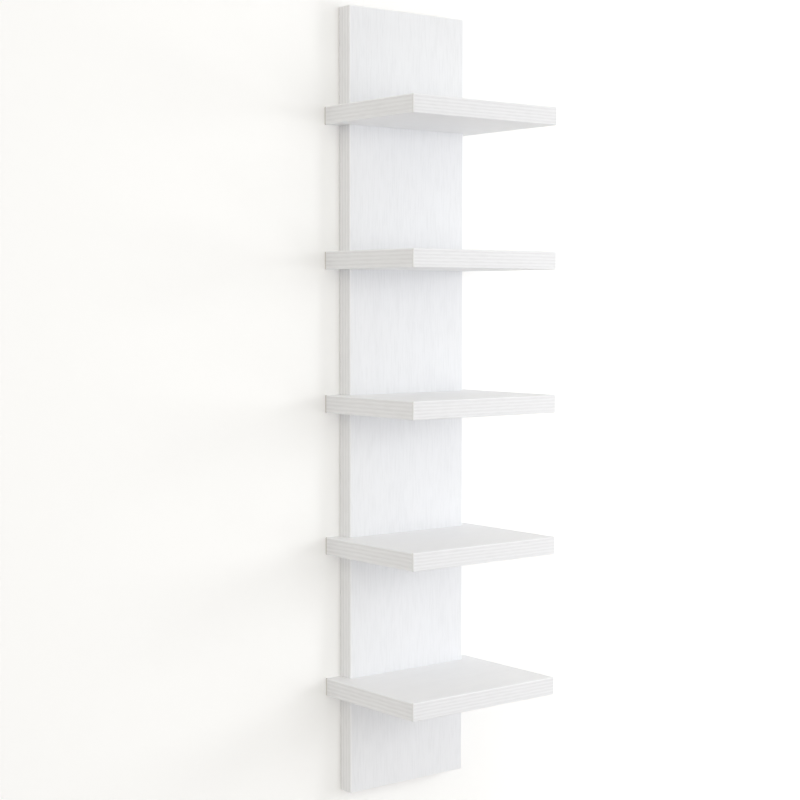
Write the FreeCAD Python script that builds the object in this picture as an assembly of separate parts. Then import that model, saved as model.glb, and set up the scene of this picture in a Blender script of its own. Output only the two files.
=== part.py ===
import FreeCAD, Part
import math
import os

# White wall shelf: one tall spine board flat on the wall, with five shelves notched over it.
# X runs right along the wall, Y runs into the wall, Z is up.
# The origin is the centre of the spine's back face, on the wall.

Vec = FreeCAD.Vector

# boards
spine_width = 150.0
spine_thickness = 18.0
shelf_thickness = 18.0
shelf_depth = 142.0          # from the wall to the front edge
shelf_overhang = 18.0        # each side past the spine
shelf_count = 5
shelf_pitch = 145.0
end_margin = 101.0           # spine left bare above the top shelf and below the bottom one
notch_clearance = 0.25       # each side, between the spine and the notch of a shelf

# edge bands
band_thickness = 1.3
edge_radius = 1.0            # rounding of a band's outer edges
band_land = 0.2              # least flat left on a band's side beside the rounding

# connecting screws, from the back of the spine into each shelf
screw_inset = 27.0           # from the spine's side to the screw
screw_length = 50.0
screw_head_radius = 5.0
screw_head_cone = 3.0
screw_head_recess = 0.4      # head below the back face
screw_shank_radius = 3.5
screw_shank_clearance = 0.15
screw_core_radius = 2.5
screw_point_length = 4.0
screw_socket_width = 4.0     # across the flats
screw_socket_depth = 2.6
screw_hole_spare = 2.0       # pilot hole past the point

# dowels across the joint
dowel_radius = 4.0
dowel_length = 30.0
dowel_spacing = 32.0
dowel_chamfer = 0.8
dowel_cover = 7.0            # board left behind a dowel hole in the spine
dowel_end_gap = 0.5

# keyhole hanger plates, let into the back of the spine
plate_length = 52.0
plate_width = 20.0
plate_thickness = 2.0
plate_recess = 0.3           # plate below the back face
plate_clearance = 0.2        # all round, in its seat
keyhole_entry_radius = 4.75
keyhole_slot_width = 5.0
keyhole_rise = 9.0           # from the entry's centre up to the slot's upper centre
head_room_clearance = 0.75   # pocket for the wall screw's head, wider than the entry
head_room_depth = 6.7        # behind the plate

# countersunk screws of the hanger plates
plate_screw_inset = 7.0      # from the plate's end
plate_screw_length = 12.0
plate_screw_head_radius = 3.4
plate_screw_radius = 1.75
plate_screw_point = 3.0
plate_screw_clearance = 0.2

# sizes that follow
spine_height = (shelf_count - 1) * shelf_pitch + shelf_thickness + 2 * end_margin
shelf_width = spine_width + 2 * shelf_overhang
shelf_levels = [(i - (shelf_count - 1) / 2) * shelf_pitch for i in range(shelf_count)]
band_radius = min(edge_radius, band_thickness - band_land)
notch_half = spine_width / 2 + notch_clearance
screw_x = spine_width / 2 - screw_inset
dowel_back = spine_thickness - dowel_cover - dowel_end_gap
hanger_level = spine_height / 2 - end_margin / 2
hanger_levels = {"lower": -hanger_level, "upper": hanger_level}
plate_screw_cone = plate_screw_head_radius - plate_screw_radius
plate_back = -plate_recess
plate_front = plate_back - plate_thickness
overcut = 1.0                # how far a cutting tool runs past a face


def block(x, y, z):
    """Box between the two ends of each pair."""
    size = [abs(b - a) for a, b in (x, y, z)]
    return Part.makeBox(*size, Vec(min(x), min(y), min(z)))


def turned(profile, x, z, y=0.0):
    """Solid of (radius, depth) points turned about an axis that runs from the wall to the front."""
    points = [Vec(x + radius, y - depth, z) for radius, depth in profile]
    face = Part.Face(Part.makePolygon(points + points[:1]))
    return face.revolve(Vec(x, y, z), Vec(0, 1, 0), 360)


def obround(width, low, high, back, depth):
    """Upright slot shape on the centre line, between two end centres, from a back plane forwards."""
    half = width / 2
    start, end = Vec(half, back, low), Vec(half, back, high)
    far_end, far_start = Vec(-half, back, high), Vec(-half, back, low)
    outline = Part.Wire([
        Part.LineSegment(start, end).toShape(),
        Part.Arc(end, Vec(0, back, high + half), far_end).toShape(),
        Part.LineSegment(far_end, far_start).toShape(),
        Part.Arc(far_start, Vec(0, back, low - half), start).toShape(),
    ])
    return Part.Face(outline).extrude(Vec(0, -depth, 0))


def band(x, y, z, glued, rounded):
    """Edge strip with its outer edges rounded.

    glued is the (axis, position) plane on the board, and rounded names the axes that the
    rounded edges run along.
    """
    strip = block(x, y, z)
    edges = []
    for edge in strip.Edges:
        run = edge.Vertexes[1].Point - edge.Vertexes[0].Point
        along = max("xyz", key=lambda axis: abs(getattr(run, axis)))
        middle = getattr(edge.CenterOfMass, glued[0])
        if along in rounded and abs(middle - glued[1]) > band_thickness / 4:
            edges.append(edge)
    return strip.makeFillet(band_radius, edges)


# the joint between the spine and a shelf

def screw_neck(shank_radius, top, bottom):
    """Countersunk head and shank of a connecting screw between two depths, as (radius, depth) points."""
    flare = (screw_head_radius - screw_shank_radius) / screw_head_cone
    neck = screw_head_recess + screw_head_cone - (shank_radius - screw_shank_radius) / flare
    return [
        (0, top),
        (shank_radius + flare * (neck - top), top),
        (shank_radius, neck),
        (shank_radius, bottom),
    ]


def shelf_screw(x, z):
    tip = screw_head_recess + screw_length
    body = turned(screw_neck(screw_shank_radius, screw_head_recess, spine_thickness) + [
        (screw_core_radius, spine_thickness),
        (screw_core_radius, tip - screw_point_length),
        (0, tip),
    ], x, z)
    corner = screw_socket_width / math.sqrt(3)
    turns = [math.radians(degrees) for degrees in range(0, 360, 60)]
    corners = [Vec(x + corner * math.cos(turn), overcut, z + corner * math.sin(turn)) for turn in turns]
    socket = Part.Face(Part.makePolygon(corners + corners[:1]))
    return body.cut(socket.extrude(Vec(0, -overcut - screw_head_recess - screw_socket_depth, 0)))


def spine_screw_hole(x, z):
    end = spine_thickness + overcut
    return turned(screw_neck(screw_shank_radius + screw_shank_clearance, -overcut, end) + [(0, end)], x, z)


def shelf_screw_hole(x, z):
    end = screw_head_recess + screw_length + screw_hole_spare
    start = spine_thickness - overcut
    return turned([(0, start), (screw_core_radius, start), (screw_core_radius, end), (0, end)], x, z)


def dowel(x, z):
    start = spine_thickness - dowel_back
    waist = dowel_radius - dowel_chamfer
    return turned([
        (0, start),
        (waist, start),
        (dowel_radius, start + dowel_chamfer),
        (dowel_radius, start + dowel_length - dowel_chamfer),
        (waist, start + dowel_length),
        (0, start + dowel_length),
    ], x, z)


def dowel_hole(x, z):
    start = spine_thickness - dowel_back - dowel_end_gap
    end = start + dowel_length + 2 * dowel_end_gap
    return turned([(0, start), (dowel_radius, start), (dowel_radius, end), (0, end)], x, z)


def each_joint(make, offset):
    """One copy of a fastener or hole at each side of every shelf."""
    return [make(side * offset, level) for level in shelf_levels for side in (-1, 1)]


# the keyhole hangers

def keyhole_ends(level):
    """Heights of the entry's centre and of the slot's upper centre."""
    return level - keyhole_rise / 2, level + keyhole_rise / 2


def plate_screw_levels(level):
    reach = plate_length / 2 - plate_screw_inset
    return [level - reach, level + reach]


def plate_shape(level, grow, back, depth):
    run = (plate_length - plate_width) / 2
    return obround(plate_width + 2 * grow, level - run, level + run, back, depth)


def hanger_plate(level):
    entry, seat = keyhole_ends(level)
    plate = plate_shape(level, 0, plate_back, plate_thickness)
    cuts = [
        obround(keyhole_slot_width, entry, seat, overcut, plate_thickness + 2 * overcut + plate_recess),
        Part.makeCylinder(keyhole_entry_radius, plate_thickness + 2 * overcut,
                          Vec(0, plate_front - overcut, entry), Vec(0, 1, 0)),
    ]
    hole_radius = plate_screw_radius + plate_screw_clearance
    for z in plate_screw_levels(level):
        cuts.append(turned([
            (0, -overcut),
            (plate_screw_head_radius, -overcut),
            (plate_screw_head_radius, plate_recess),
            (hole_radius, plate_recess + plate_screw_cone - plate_screw_clearance),
            (hole_radius, plate_recess + plate_thickness + overcut),
            (0, plate_recess + plate_thickness + overcut),
        ], 0, z))
    return plate.cut(cuts)


def plate_screw(x, z):
    tip = plate_recess + plate_screw_length
    return turned([
        (0, plate_recess),
        (plate_screw_head_radius, plate_recess),
        (plate_screw_radius, plate_recess + plate_screw_cone),
        (plate_screw_radius, tip - plate_screw_point),
        (0, tip),
    ], x, z)


def hanger_pocket(level):
    """What is routed and drilled out of the spine's back for one hanger."""
    entry, seat = keyhole_ends(level)
    head_room = 2 * (keyhole_entry_radius + head_room_clearance)
    seat_depth = overcut - plate_front
    cuts = [
        plate_shape(level, plate_clearance, overcut, seat_depth),
        obround(head_room, entry, seat, overcut, seat_depth + head_room_depth),
    ]
    return cuts + [plate_screw(0, z) for z in plate_screw_levels(level)]


# boards and their edge bands

def spine_nodes():
    half_w, half_h = spine_width / 2, spine_height / 2
    core_w, core_h = half_w - band_thickness, half_h - band_thickness
    through = (-spine_thickness, 0)
    core = block((-core_w, core_w), through, (-core_h, core_h))
    cuts = each_joint(spine_screw_hole, screw_x) + each_joint(dowel_hole, dowel_spacing / 2)
    for level in hanger_levels.values():
        cuts += hanger_pocket(level)
    nodes = {"spine_board": core.cut(cuts)}
    for name, side in (("left", -1), ("right", 1)):
        nodes["spine_edge_" + name] = band(
            (side * core_w, side * half_w), through, (-half_h, half_h), ("x", side * core_w), "xyz")
    for name, side in (("bottom", -1), ("top", 1)):
        nodes["spine_edge_" + name] = band(
            (-core_w, core_w), through, (side * core_h, side * half_h), ("z", side * core_h), "x")
    return nodes


def shelf_nodes(name, level):
    half_w, half_t = shelf_width / 2, shelf_thickness / 2
    core_w = half_w - band_thickness
    core_front, core_back = band_thickness - shelf_depth, -band_thickness
    z = (level - half_t, level + half_t)
    core = block((-core_w, core_w), (core_front, core_back), z)
    notch = block((-notch_half, notch_half), (-spine_thickness, overcut),
                  (z[0] - overcut, z[1] + overcut))
    drilled = [shelf_screw_hole(side * screw_x, level) for side in (-1, 1)]
    drilled += [dowel_hole(side * dowel_spacing / 2, level) for side in (-1, 1)]
    nodes = {
        name + "_board": core.cut([notch] + drilled),
        name + "_edge_front": band(
            (-half_w, half_w), (-shelf_depth, core_front), z, ("y", core_front), "xyz"),
    }
    for side_name, side in (("left", -1), ("right", 1)):
        inner, outer = side * core_w, side * half_w
        nodes[name + "_edge_" + side_name] = band(
            (inner, outer), (core_front, 0), z, ("x", inner), "y")
        nodes[name + "_edge_back_" + side_name] = band(
            (side * notch_half, inner), (core_back, 0), z, ("y", core_back), "x")
    return nodes


def build():
    nodes = spine_nodes()
    for number, level in enumerate(reversed(shelf_levels), start=1):
        nodes.update(shelf_nodes("shelf_%d" % number, level))
    nodes["shelf_screws"] = Part.makeCompound(each_joint(shelf_screw, screw_x))
    nodes["shelf_dowels"] = Part.makeCompound(each_joint(dowel, dowel_spacing / 2))
    for name, level in hanger_levels.items():
        nodes["hanger_plate_" + name] = hanger_plate(level)
    nodes["hanger_screws"] = Part.makeCompound(
        [plate_screw(0, z) for level in hanger_levels.values() for z in plate_screw_levels(level)])
    return nodes


os.makedirs("parts", exist_ok=True)
for node, shape in build().items():
    shape.exportStep("parts/%s.step" % node)
    print("%-24s %d solid(s) %10.1f mm3" % (node, len(shape.Solids), shape.Volume))
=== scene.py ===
import bpy
import bmesh
import math
from mathutils import Matrix, Vector


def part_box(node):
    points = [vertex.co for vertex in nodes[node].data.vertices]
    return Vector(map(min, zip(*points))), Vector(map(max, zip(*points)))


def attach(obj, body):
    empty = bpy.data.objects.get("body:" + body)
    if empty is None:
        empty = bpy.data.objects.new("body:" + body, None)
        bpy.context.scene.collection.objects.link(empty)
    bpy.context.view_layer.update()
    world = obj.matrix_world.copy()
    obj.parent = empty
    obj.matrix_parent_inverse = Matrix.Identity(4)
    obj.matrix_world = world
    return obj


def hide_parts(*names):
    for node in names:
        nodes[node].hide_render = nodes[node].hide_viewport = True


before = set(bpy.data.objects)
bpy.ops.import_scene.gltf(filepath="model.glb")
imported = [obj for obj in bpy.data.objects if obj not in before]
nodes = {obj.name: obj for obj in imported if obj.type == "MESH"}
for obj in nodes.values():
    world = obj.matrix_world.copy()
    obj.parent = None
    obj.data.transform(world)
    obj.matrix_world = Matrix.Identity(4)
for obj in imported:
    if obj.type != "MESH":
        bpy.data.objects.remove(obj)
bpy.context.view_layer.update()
print("frame loaded:", len(nodes), "CAD nodes")


def newObject(name, data):
    made = bpy.data.objects.new(name, data)
    bpy.context.scene.collection.objects.link(made)
    return made


# camera, set up from the photo's edges

cameraRig = {"place": (-1.1015, -1.3854, 0.1027), "yaw": 38.589, "pitchDown": 3.298, "lens": 76.125}

camera = newObject("photoCamera", bpy.data.cameras.new("photoCamera"))
camera.data.lens = cameraRig["lens"]
camera.location = cameraRig["place"]
camera.rotation_euler = (math.radians(90 - cameraRig["pitchDown"]), 0, math.radians(-cameraRig["yaw"]))
bpy.context.scene.camera = camera
bpy.context.scene.view_settings.view_transform = "Standard"
print("camera placed")


# shader maths as plain expressions

class Wire:
    def __init__(self, tree, socket):
        self.tree = tree
        self.socket = socket

    def calc(self, operation, first, second=0):
        return self.tree.node("ShaderNodeMath", {"operation": operation}, {0: first, 1: second})

    def __add__(self, other):
        return self.calc("ADD", self, other)

    def __radd__(self, other):
        return self.calc("ADD", other, self)

    def __sub__(self, other):
        return self.calc("SUBTRACT", self, other)

    def __rsub__(self, other):
        return self.calc("SUBTRACT", other, self)

    def __mul__(self, other):
        return self.calc("MULTIPLY", self, other)

    def __rmul__(self, other):
        return self.calc("MULTIPLY", other, self)

    def __lt__(self, other):
        return self.calc("LESS_THAN", self, other)

    def __gt__(self, other):
        return self.calc("GREATER_THAN", self, other)

    def __abs__(self):
        return self.calc("ABSOLUTE", self)

    def max(self, other):
        return self.calc("MAXIMUM", self, other)


class Tree:
    def __init__(self, owner):
        owner.use_nodes = True
        self.nodes = owner.node_tree.nodes
        self.links = owner.node_tree.links
        self.nodes.clear()

    # any node: its settings come first, then the values or links of its sockets
    def node(self, kind, settings=None, sockets=None, out=0):
        made = self.nodes.new(kind)
        for name, value in (settings or {}).items():
            setattr(made, name, value)
        for name, value in (sockets or {}).items():
            if isinstance(value, Wire):
                self.links.new(value.socket, made.inputs[name])
            else:
                made.inputs[name].default_value = value
        return Wire(self, made.outputs[out]) if made.outputs else None

    def place(self):
        return self.node("ShaderNodeTexCoord", out="Object")

    def component(self, vector, axis):
        return self.node("ShaderNodeSeparateXYZ", None, {0: vector}, axis)

    # 1 where the surface is turned away from an axis
    def turnedFrom(self, axis, limit):
        normal = self.node("ShaderNodeNewGeometry", out="True Normal")
        return abs(self.component(normal, axis)) < limit

    # smooth 0 to 1 step between two values of a wire
    def step(self, wire, low, high):
        return self.node("ShaderNodeMapRange", {"interpolation_type": "SMOOTHSTEP"},
                         {"Value": wire, "From Min": low, "From Max": high})

    # sockets 6 and 7 take the colours, and 2 gives the mixed one
    def mix(self, factor, first, second):
        return self.node("ShaderNodeMix", {"data_type": "RGBA"}, {0: factor, 6: first, 7: second}, 2)

    # place scaled so that a pattern is drawn out along one axis
    def along(self, runAxis, pitch, run):
        factors = [1 / (run if axis == runAxis else pitch) for axis in "XYZ"]
        return self.node("ShaderNodeVectorMath", {"operation": "MULTIPLY"}, {0: self.place(), 1: factors})

    # noise of a pattern's pitch, and of its run along one axis
    def noise(self, pattern, runAxis="X"):
        place = self.along(runAxis, pattern["pitch"], pattern["run"])
        return self.node("ShaderNodeTexNoise", {"noise_dimensions": "3D"},
                         {"Vector": place, "Scale": 1.0, "Detail": pattern["detail"],
                          "Roughness": pattern["rough"]})

    # a pattern's values spread to 0 to 1
    def graded(self, wire, pattern):
        return self.step(wire, pattern["low"], pattern["high"])

    def bump(self, height, strength, relief):
        return self.node("ShaderNodeBump", None,
                         {"Strength": strength, "Distance": relief, "Height": height})


def newFinish(name):
    material = bpy.data.materials.new(name)
    return material, Tree(material)


def surface(tree, sockets):
    shader = tree.node("ShaderNodeBsdfPrincipled", None, sockets)
    tree.node("ShaderNodeOutputMaterial", None, {"Surface": shader})


def dress(name, material):
    mesh = nodes[name].data
    mesh.materials.clear()
    mesh.materials.append(material)


# white melamine faces on chipboard; the grain runs along one axis of the board

laminate = {
    "spineWhite": (0.868, 0.885, 0.918, 1), "spineGrain": (0.820, 0.837, 0.869, 1),
    "shelfWhite": (0.905, 0.911, 0.927, 1), "shelfGrain": (0.878, 0.884, 0.900, 1),
    "streak": {"pitch": 0.0016, "run": 0.022, "detail": 2.0, "rough": 0.6, "low": 0.4, "high": 0.7},
    "cloud": {"pitch": 0.02, "run": 0.35, "detail": 2.0, "rough": 0.5, "low": 0.35, "high": 0.7},
    "streakShare": 0.75, "rough": 0.45, "gloss": 0.3, "bump": 0.35, "relief": 0.00004,
    "chip": (0.50, 0.38, 0.25, 1), "chipDark": (0.30, 0.21, 0.13, 1), "chipRough": 0.4, "faceLimit": 0.9,
    "flake": {"pitch": 0.0016, "run": 0.0016, "detail": 3.0, "rough": 0.65, "low": 0.35, "high": 0.65},
}


def laminateFinish(name, board, faceAxis, runAxis):
    material, tree = newFinish(name)
    streak = tree.noise(laminate["streak"], runAxis)
    streaks = tree.graded(streak, laminate["streak"])
    clouds = tree.graded(tree.noise(laminate["cloud"], runAxis), laminate["cloud"])
    grain = streaks * laminate["streakShare"] + clouds * (1 - laminate["streakShare"])
    face = tree.mix(grain, laminate[board + "White"], laminate[board + "Grain"])
    # cut edges, pockets and holes show the chipboard
    flakes = tree.graded(tree.noise(laminate["flake"]), laminate["flake"])
    chips = tree.mix(flakes, laminate["chipDark"], laminate["chip"])
    cut = tree.turnedFrom(faceAxis, laminate["faceLimit"])
    surface(tree, {"Base Color": tree.mix(cut, face, chips),
                   "Roughness": laminate["rough"] + cut * laminate["chipRough"],
                   "Specular IOR Level": laminate["gloss"],
                   "Normal": tree.bump(streak, laminate["bump"], laminate["relief"])})
    return material


# edge bands: straight printed lines along the strip, plain plastic where it is trimmed and milled round,
# painted paler there as a highlight

band = {
    "shelfWhite": (0.858, 0.870, 0.898, 1), "shelfLine": (0.782, 0.793, 0.819, 1),
    "spineWhite": (0.892, 0.902, 0.930, 1), "spineLine": (0.812, 0.822, 0.847, 1),
    "frontLines": 45, "sideLines": 37, "sideShift": 0.25,  # lines from shelf to shelf, shift in lines
    "spinePitch": 0.0046, "spineShift": 0.0016,
    "line": {"run": 0.30, "wobble": 0.3, "detail": 2.0, "detailScale": 1.5, "low": 0.1, "high": 0.95},
    "fibre": {"pitch": 0.0011, "run": 0.012, "detail": 2.0, "rough": 0.5, "low": 0.4, "high": 0.65},
    "fibreShare": 0.38, "rough": 0.4, "lineRough": 0.1, "bump": 0.3, "relief": 0.00005,
    # the trimmed colour is paler than the strip: plain milled plastic plus a painted highlight on the
    # rounded edges
    "trimmedHighlight": (0.907, 0.920, 0.948, 1), "flatLimit": 0.985,
    "frontJoint": {"half": 0.0005, "colour": (0.68, 0.675, 0.665, 1)},
    # painted shade: dark lines at the wall end of the bands stand in for the contact shadow at the wall
    "spineWallShade": {"half": 0.0008, "colour": (0.42, 0.41, 0.395, 1)},
    "shelfWallShade": {"half": 0.0018, "colour": (0.62, 0.61, 0.595, 1)},
}
waveLength = 2 * math.pi / 20  # of the wave texture at scale 1


# one line lies at the given height or depth, the others at the pitch from it
def bandFinish(name, board, faceAxis, runAxis, acrossAxis, pitch, lineAt, jointAndShadeLines=()):
    material, tree = newFinish(name)
    line = band["line"]
    flow = tree.along(runAxis, pitch / waveLength, line["run"] / waveLength)
    wave = tree.node("ShaderNodeTexWave", {"wave_type": "BANDS", "bands_direction": acrossAxis},
                     {"Vector": flow, "Scale": 1.0, "Distortion": line["wobble"], "Detail": line["detail"],
                      "Detail Scale": line["detailScale"],
                      "Phase Offset": math.pi - 2 * math.pi * lineAt / pitch}, "Fac")
    fibres = tree.graded(tree.noise(band["fibre"], runAxis), band["fibre"])
    grain = tree.graded(wave, line) * (1 - band["fibreShare"]) + fibres * band["fibreShare"]
    printed = tree.mix(grain, band[board + "White"], band[board + "Line"])
    # painted highlight: the milled rounding is plain plastic, made paler than the strip to stand in for the
    # highlight along the edge
    colour = tree.mix(tree.turnedFrom(faceAxis, band["flatLimit"]), printed, band["trimmedHighlight"])
    # dark lines where the strip meets another strip, and painted shade where it meets the wall
    for depth, darkLine in jointAndShadeLines:
        close = abs(tree.component(tree.place(), "Y") - depth) < darkLine["half"]
        colour = tree.mix(close, colour, darkLine["colour"])
    surface(tree, {"Base Color": colour, "Roughness": band["rough"] + grain * band["lineRough"],
                   "Normal": tree.bump(1 - grain, band["bump"], band["relief"])})
    return material


# zinc plated steel

zinc = {
    "bright": (0.53, 0.54, 0.56, 1), "dull": (0.38, 0.39, 0.41, 1), "rough": 0.3, "roughSpread": 0.2,
    "spangle": {"pitch": 0.004, "run": 0.004, "detail": 4.0, "rough": 0.6, "low": 0.35, "high": 0.7},
}


def zincFinish(name):
    material, tree = newFinish(name)
    spangle = tree.noise(zinc["spangle"])
    colour = tree.mix(tree.graded(spangle, zinc["spangle"]), zinc["bright"], zinc["dull"])
    rough = zinc["rough"] + spangle * zinc["roughSpread"]
    surface(tree, {"Base Color": colour, "Metallic": 1.0, "Roughness": rough})
    return material


# beech with its grain along the dowel

beech = {
    "light": (0.62, 0.44, 0.27, 1), "dark": (0.48, 0.31, 0.17, 1), "rough": 0.6,
    "ring": {"pitch": 0.0006, "run": 0.02, "detail": 3.0, "rough": 0.5, "low": 0.4, "high": 0.65},
}


def beechFinish(name):
    material, tree = newFinish(name)
    rings = tree.graded(tree.noise(beech["ring"], "Y"), beech["ring"])
    colour = tree.mix(rings, beech["light"], beech["dark"])
    surface(tree, {"Base Color": colour, "Roughness": beech["rough"]})
    return material


# the finishes put on boards, bands and plates

def middle(name):
    low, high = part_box(name)
    return (low + high) / 2


shelves = ["shelf_%d_" % number for number in range(1, 6)]
shelfLevels = [middle(shelf + "board").z for shelf in shelves]
shelfSpacing = shelfLevels[0] - shelfLevels[1]
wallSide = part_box("spine_board")[1].y

dress("spine_board", laminateFinish("spineLaminate", "spine", "Y", "Z"))
spineLineAt = middle("spine_board").y - band["spineShift"]
# the spine's side bands get painted shade along the wall
spineSideBand = bandFinish("spineSideBand", "spine", "X", "Z", "Y", band["spinePitch"], spineLineAt,
                           [(wallSide, band["spineWallShade"])])
for side in ("left", "right"):
    dress("spine_edge_" + side, spineSideBand)
spineEndBand = bandFinish("spineEndBand", "spine", "Z", "X", "Y", band["spinePitch"], spineLineAt)
for end in ("top", "bottom"):
    dress("spine_edge_" + end, spineEndBand)

shelfLaminate = laminateFinish("shelfLaminate", "shelf", "Z", "X")
# a whole number of lines from shelf to shelf, so that every shelf shows the same edge
frontPitch = shelfSpacing / band["frontLines"]
shelfFrontBand = bandFinish("shelfFrontBand", "shelf", "Y", "X", "Z", frontPitch, shelfLevels[0])
sidePitch = shelfSpacing / band["sideLines"]
sideLineAt = shelfLevels[0] - band["sideShift"] * sidePitch
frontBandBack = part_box("shelf_1_edge_front")[1].y
# the side bands get a dark joint line behind the front band and painted shade along the wall
shelfSideBand = bandFinish("shelfSideBand", "shelf", "X", "Y", "Z", sidePitch, sideLineAt,
                           [(frontBandBack, band["frontJoint"]), (wallSide, band["shelfWallShade"])])
for shelf in shelves:
    dress(shelf + "board", shelfLaminate)
    dress(shelf + "edge_front", shelfFrontBand)
    for side in ("left", "right"):
        dress(shelf + "edge_" + side, shelfSideBand)
        dress(shelf + "edge_back_" + side, shelfFrontBand)

zincPlate = zincFinish("zincPlate")
for end in ("upper", "lower"):
    dress("hanger_plate_" + end, zincPlate)
print("boards, bands and plates finished")


# fasteners are made at the origin, head at y = 0 and point towards -y, then set at each place

turning = {"steps": 24, "rimSegments": 4, "weld": 1e-6, "sharpAngle": 32}


def newMesh(bm, name):
    mesh = bpy.data.meshes.new(name)
    bm.to_mesh(mesh)
    bm.free()
    return mesh


def drawLine(bm, points, closed):
    verts = [bm.verts.new(point) for point in points]
    ends = verts[1:] + verts[:1] if closed else verts[1:]
    edges = [bm.edges.new(pair) for pair in zip(verts, ends)]
    return verts, edges


def vertsOf(geom):
    return [item for item in geom if isinstance(item, bmesh.types.BMVert)]


def ringEdges(bm, verts):
    return [edge for edge in bm.edges if all(end in verts for end in edge.verts)]


# recess for the driver: its outline is bridged to the head's rim, then sunk
def sinkRecess(bm, outline, depth):
    rim = [edge for edge in bm.edges if edge.is_boundary]
    # drawn at the recess's floor and raised later, as a bridge in one plane can run round the wrong way
    edges = drawLine(bm, [(x, -depth, z) for x, z in outline], True)[1]
    cuts = len(rim) // len(outline) - 1  # as many points as the rim has
    bmesh.ops.subdivide_edges(bm, edges=edges, cuts=cuts)
    recess = [edge for edge in bm.edges if edge.is_wire]
    lip = [vert for vert in bm.verts if vert.is_wire]
    bmesh.ops.bridge_loops(bm, edges=rim + recess)
    bmesh.ops.translate(bm, vec=(0, depth, 0), verts=lip)
    floorVerts = vertsOf(bmesh.ops.extrude_edge_only(bm, edges=recess)["geom"])
    bmesh.ops.translate(bm, vec=(0, -depth, 0), verts=floorVerts)
    bmesh.ops.contextual_create(bm, geom=ringEdges(bm, floorVerts))
    return rim


# one ridge wound round the core, run out to a point at both ends
def windThread(bm, spec):
    steps = turning["steps"]
    start = spec["threadStart"]
    half = spec["threadHalf"]
    root = spec["coreRadius"] - spec["threadRoot"]
    section = [(root, -start, 0), (spec["threadRadius"], -start - half, 0), (root, -start - 2 * half, 0)]
    verts, edges = drawLine(bm, section, True)
    turns = (spec["threadEnd"] - start) / spec["threadPitch"]
    wound = bmesh.ops.spin(bm, geom=verts + edges, cent=(0, 0, 0), axis=(0, 1, 0), angle=2 * math.pi * turns,
                           steps=int(steps * turns), dvec=(0, -spec["threadPitch"] / steps, 0))["geom_last"]
    for end in (verts, vertsOf(wound)):
        bmesh.ops.pointmerge(bm, verts=end, merge_co=end[0].co)


def screwMesh(spec, outline):
    bm = bmesh.new()
    coreStart = spec["neckEnd"] + spec["neckRadius"] - spec["coreRadius"]  # after a shoulder at 45 degrees
    profile = [(spec["headRadius"], 0), (spec["neckRadius"], spec["coneDepth"]),
               (spec["neckRadius"], spec["neckEnd"]), (spec["coreRadius"], coreStart),
               (spec["coreRadius"], spec["length"] - spec["point"]), (0, spec["length"])]
    verts, edges = drawLine(bm, [(radius, -depth, 0) for radius, depth in profile], False)
    bmesh.ops.spin(bm, geom=verts + edges, cent=(0, 0, 0), axis=(0, 1, 0), angle=2 * math.pi,
                   steps=turning["steps"], use_merge=True)
    bmesh.ops.remove_doubles(bm, verts=bm.verts, dist=turning["weld"])
    rim = sinkRecess(bm, outline, spec["recessDepth"])
    bmesh.ops.bevel(bm, geom=rim, offset=spec["rimRound"], affect="EDGES", segments=turning["rimSegments"],
                    profile=0.5, material=-1)
    windThread(bm, spec)
    bmesh.ops.recalc_face_normals(bm, faces=bm.faces)
    return newMesh(bm, "screwPattern")


# a piece made of one pattern set at several places
def setOut(name, pattern, places, material, node):
    bm = bmesh.new()
    for place in places:
        count = len(bm.verts)
        bm.from_mesh(pattern)
        bm.verts.ensure_lookup_table()
        bmesh.ops.translate(bm, vec=place, verts=bm.verts[count:])
    mesh = newMesh(bm, name)
    mesh.shade_smooth()
    mesh.set_sharp_from_angle(angle=math.radians(turning["sharpAngle"]))
    mesh.materials.append(material)
    piece = newObject(name, mesh)
    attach(piece, "root")
    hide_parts(node)


zincScrew = zincFinish("zincScrew")

# connecting screws: countersunk head, hexagon socket, coarse thread in the shelf
shelfScrew = {
    "headRadius": 0.005, "coneDepth": 0.003, "neckRadius": 0.0035, "neckEnd": 0.0176,
    "coreRadius": 0.0025, "length": 0.050, "point": 0.004, "rimRound": 0.0003,
    "recessWidth": 0.004, "recessDepth": 0.0026,
    "threadRadius": 0.0034, "threadRoot": 0.0002, "threadHalf": 0.0009, "threadPitch": 0.003,
    "threadStart": 0.0195, "threadEnd": 0.0455,
}
socketReach = shelfScrew["recessWidth"] / math.sqrt(3)
sixths = [math.radians(60 * corner) for corner in range(6)]
hexagon = [(socketReach * math.cos(turn), socketReach * math.sin(turn)) for turn in sixths]
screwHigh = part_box("shelf_screws")[1]
screwX = screwHigh.x - shelfScrew["headRadius"]
setOut("shelfScrews", screwMesh(shelfScrew, hexagon),
       [(side * screwX, screwHigh.y, level) for level in shelfLevels for side in (-1, 1)],
       zincScrew, "shelf_screws")

# hanger screws: small countersunk wood screws with a cross recess
hangerScrew = {
    "headRadius": 0.0034, "coneDepth": 0.00165, "neckRadius": 0.00175, "neckEnd": 0.0025,
    "coreRadius": 0.0012, "length": 0.012, "point": 0.003, "rimRound": 0.0003,
    "crossReach": 0.0019, "crossHalf": 0.00042, "recessDepth": 0.0013,
    "threadRadius": 0.00175, "threadRoot": 0.0001, "threadHalf": 0.00039, "threadPitch": 0.0013,
    "threadStart": 0.0034, "threadEnd": 0.0092,
}
reach = hangerScrew["crossReach"]
half = hangerScrew["crossHalf"]
arm = [(reach, -half), (reach, half), (half, half)]
cross = []
for quarter in range(4):
    turn = Matrix.Rotation(math.radians(90 * quarter), 2)
    cross += [tuple(turn @ Vector(corner)) for corner in arm]
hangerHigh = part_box("hanger_screws")[1]
plateLevels = [middle("hanger_plate_" + end).z for end in ("upper", "lower")]
plateReach = hangerHigh.z - hangerScrew["headRadius"] - plateLevels[0]
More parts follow.
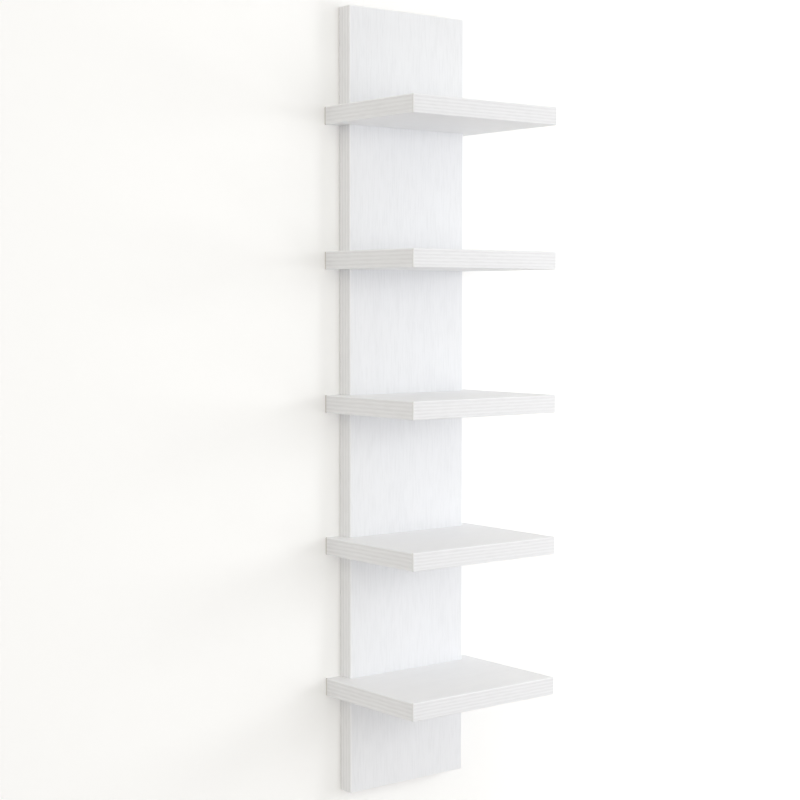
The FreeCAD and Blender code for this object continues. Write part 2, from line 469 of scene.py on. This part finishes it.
setOut("hangerScrews", screwMesh(hangerScrew, cross),
       [(0, hangerHigh.y, level + side * plateReach) for level in plateLevels for side in (-1, 1)],
       zincScrew, "hanger_screws")

# fluted dowels across the joint of spine and shelf
shelfDowel = {"radius": 0.004, "chamfer": 0.0008, "flutes": 18, "fluteDepth": 0.00035}


def dowelMesh(length):
    bm = bmesh.new()
    radius = shelfDowel["radius"]
    chamfer = shelfDowel["chamfer"]
    bmesh.ops.create_circle(bm, radius=radius - chamfer, segments=2 * shelfDowel["flutes"],
                            matrix=Matrix.Rotation(math.radians(90), 4, "X"))
    ring = list(bm.verts)
    bmesh.ops.contextual_create(bm, geom=list(bm.edges))
    grow = radius / (radius - chamfer)
    for run, scale in ((chamfer, grow), (length - 2 * chamfer, 1), (chamfer, 1 / grow)):
        ring = vertsOf(bmesh.ops.extrude_edge_only(bm, edges=ringEdges(bm, ring))["geom"])
        bmesh.ops.scale(bm, vec=(scale, 1, scale), verts=ring)
        bmesh.ops.translate(bm, vec=(0, -run, 0), verts=ring)
    bmesh.ops.contextual_create(bm, geom=ringEdges(bm, ring))
    # every second line of the barrel is pressed in
    turn = math.pi / shelfDowel["flutes"]
    barrel = [vert for vert in bm.verts if math.hypot(vert.co.x, vert.co.z) > radius - chamfer / 2]
    pressed = [vert for vert in barrel if round(math.atan2(vert.co.z, vert.co.x) / turn) % 2]
    squeeze = 1 - shelfDowel["fluteDepth"] / radius
    bmesh.ops.scale(bm, vec=(squeeze, 1, squeeze), verts=pressed)
    bmesh.ops.recalc_face_normals(bm, faces=bm.faces)
    return newMesh(bm, "dowelPattern")


dowelLow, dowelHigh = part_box("shelf_dowels")
dowelX = dowelHigh.x - shelfDowel["radius"]
setOut("shelfDowels", dowelMesh(dowelHigh.y - dowelLow.y),
       [(side * dowelX, dowelHigh.y, level) for level in shelfLevels for side in (-1, 1)],
       beechFinish("beechDowel"), "shelf_dowels")
print("screws and dowels set")


# stage: the wall it hangs on and a floor, both pale, that fade to white away from the shelf

wallSpec = {
    "gap": 0.0004, "half": 12.0, "paint": (0.900, 0.907, 0.908, 1), "glow": (1.0, 0.995, 0.98, 1),
    # closeLift is painted shade: a smaller lift beside the spine keeps the wall darker there
    "lift": 0.183, "closeLift": 0.146, "closeFrom": 0.09, "closeTo": 0.17,
    "fadeFrom": 0.85, "fadeTo": 2.2, "nearRay": 0.0016,
}
floorSpec = {
    "level": -1.2, "half": 12.0, "paint": (0.545, 0.53, 0.53, 1), "glow": (1.0, 0.995, 0.985, 1),
    "lift": 0.45, "fadeFrom": 1.6, "fadeTo": 4.5,
}
white = (1, 1, 1, 1)
black = (0, 0, 0, 1)


def stagePlane(name, half, turn, place, material):
    bm = bmesh.new()
    bmesh.ops.create_grid(bm, x_segments=1, y_segments=1, size=half)
    bmesh.ops.transform(bm, matrix=Matrix.Translation(place) @ turn, verts=bm.verts)
    mesh = newMesh(bm, name)
    mesh.materials.append(material)
    newObject(name, mesh)


# 1 where the background is looked at, straight or in a reflection
def straightLook(tree):
    kinds = ("Camera", "Glossy", "Transmission")
    rays = [tree.node("ShaderNodeLightPath", out="Is %s Ray" % kind) for kind in kinds]
    return rays[0].max(rays[1]).max(rays[2])


# matt paint that looks a little paler than the light on it would make it, and white far from the shelf
def paleCoat(tree, spec, lift):
    reach = tree.node("ShaderNodeVectorMath", {"operation": "LENGTH"}, {0: tree.place()}, "Value")
    far = tree.step(reach, spec["fadeFrom"], spec["fadeTo"])
    shine = tree.mix(straightLook(tree) * (lift + far * (1 - lift)), black, spec["glow"])
    paint = tree.node("ShaderNodeBsdfDiffuse", None, {"Color": spec["paint"]})
    glow = tree.node("ShaderNodeEmission", None, {"Color": shine, "Strength": 1.0})
    return tree.node("ShaderNodeAddShader", None, {0: paint, 1: glow})


# the stage has one side only, so that the shelf can be looked at from behind and from below
def oneSided(tree, coat, unseen):
    clear = tree.node("ShaderNodeBsdfTransparent")
    shown = tree.node("ShaderNodeMixShader", None, {0: unseen, 1: coat, 2: clear})
    tree.node("ShaderNodeOutputMaterial", None, {"Surface": shown})


def wallPaint():
    material, tree = newFinish("wallPaint")
    # less lift close to the spine: painted shade that darkens the wall beside it, on top of its shadow
    aside = abs(tree.component(tree.place(), "X"))
    away = tree.step(aside, wallSpec["closeFrom"], wallSpec["closeTo"])
    lift = wallSpec["closeLift"] + away * (wallSpec["lift"] - wallSpec["closeLift"])
    behind = tree.node("ShaderNodeNewGeometry", out="Backfacing")
    # the wall lets light reach the back of what hangs on it
    length = tree.node("ShaderNodeLightPath", out="Ray Length")
    oneSided(tree, paleCoat(tree, wallSpec, lift), behind.max(length < wallSpec["nearRay"]))
    return material


def floorPaint():
    material, tree = newFinish("floorPaint")
    behind = tree.node("ShaderNodeNewGeometry", out="Backfacing")
    oneSided(tree, paleCoat(tree, floorSpec, floorSpec["lift"]), behind)
    return material


upright = Matrix.Rotation(math.radians(90), 4, "X")
stagePlane("backWall", wallSpec["half"], upright, (0, wallSpec["gap"], 0), wallPaint())
stagePlane("floor", floorSpec["half"], Matrix.Identity(4), (0, 0, floorSpec["level"]), floorPaint())
print("stage set")


# light: a soft even room with brighter sides, and three weak lamps at the front and right

room = {
    "even": 0.39,
    "sides": (
        {"axis": "X", "way": 1, "level": 1.06, "tint": white},
        {"axis": "X", "way": -1, "level": 1.09, "tint": (1.0, 0.935, 0.79, 1)},
        {"axis": "Y", "way": 1, "level": 0.40, "tint": white},
    ),
}
lamps = {
    "windowLamp": {"place": (1.24, -0.90, 0.18), "aim": (0, 0, 0.18), "size": (0.4, 0.5), "watts": 4.4},
    "frontLamp": {"place": (0.2, -2.0, 0.10), "aim": (0, 0, 0), "size": (0.9, 0.9), "watts": 5.35},
    "lowLamp": {"place": (1.0, -1.1, -0.45), "aim": (0, 0, -0.25), "size": (0.7, 0.5), "watts": 1.85},
}


def softRoom():
    world = bpy.data.worlds.new("softRoom")
    tree = Tree(world)
    direction = tree.node("ShaderNodeTexCoord", out="Generated")
    lit = tree.node("ShaderNodeBackground", None, {"Color": white, "Strength": room["even"]})
    for side in room["sides"]:
        facing = tree.component(direction, side["axis"]) * side["way"]
        light = tree.node("ShaderNodeBackground", None,
                          {"Color": side["tint"], "Strength": facing.max(0) * side["level"]})
        lit = tree.node("ShaderNodeAddShader", None, {0: lit, 1: light})
    plain = tree.node("ShaderNodeBackground", None, {"Color": white, "Strength": 1.0})
    shown = tree.node("ShaderNodeMixShader", None, {0: straightLook(tree), 1: lit, 2: plain})
    tree.node("ShaderNodeOutputWorld", None, {"Surface": shown})
    return world


def areaLamp(name, spec):
    lamp = newObject(name, bpy.data.lights.new(name, "AREA"))
    lamp.data.shape = "RECTANGLE"
    lamp.data.size, lamp.data.size_y = spec["size"]
    lamp.data.energy = spec["watts"]
    lamp.location = spec["place"]
    lamp.rotation_euler = (Vector(spec["aim"]) - Vector(spec["place"])).to_track_quat("-Z", "Y").to_euler()


bpy.context.scene.world = softRoom()
for name, spec in lamps.items():
    areaLamp(name, spec)
print("light set")
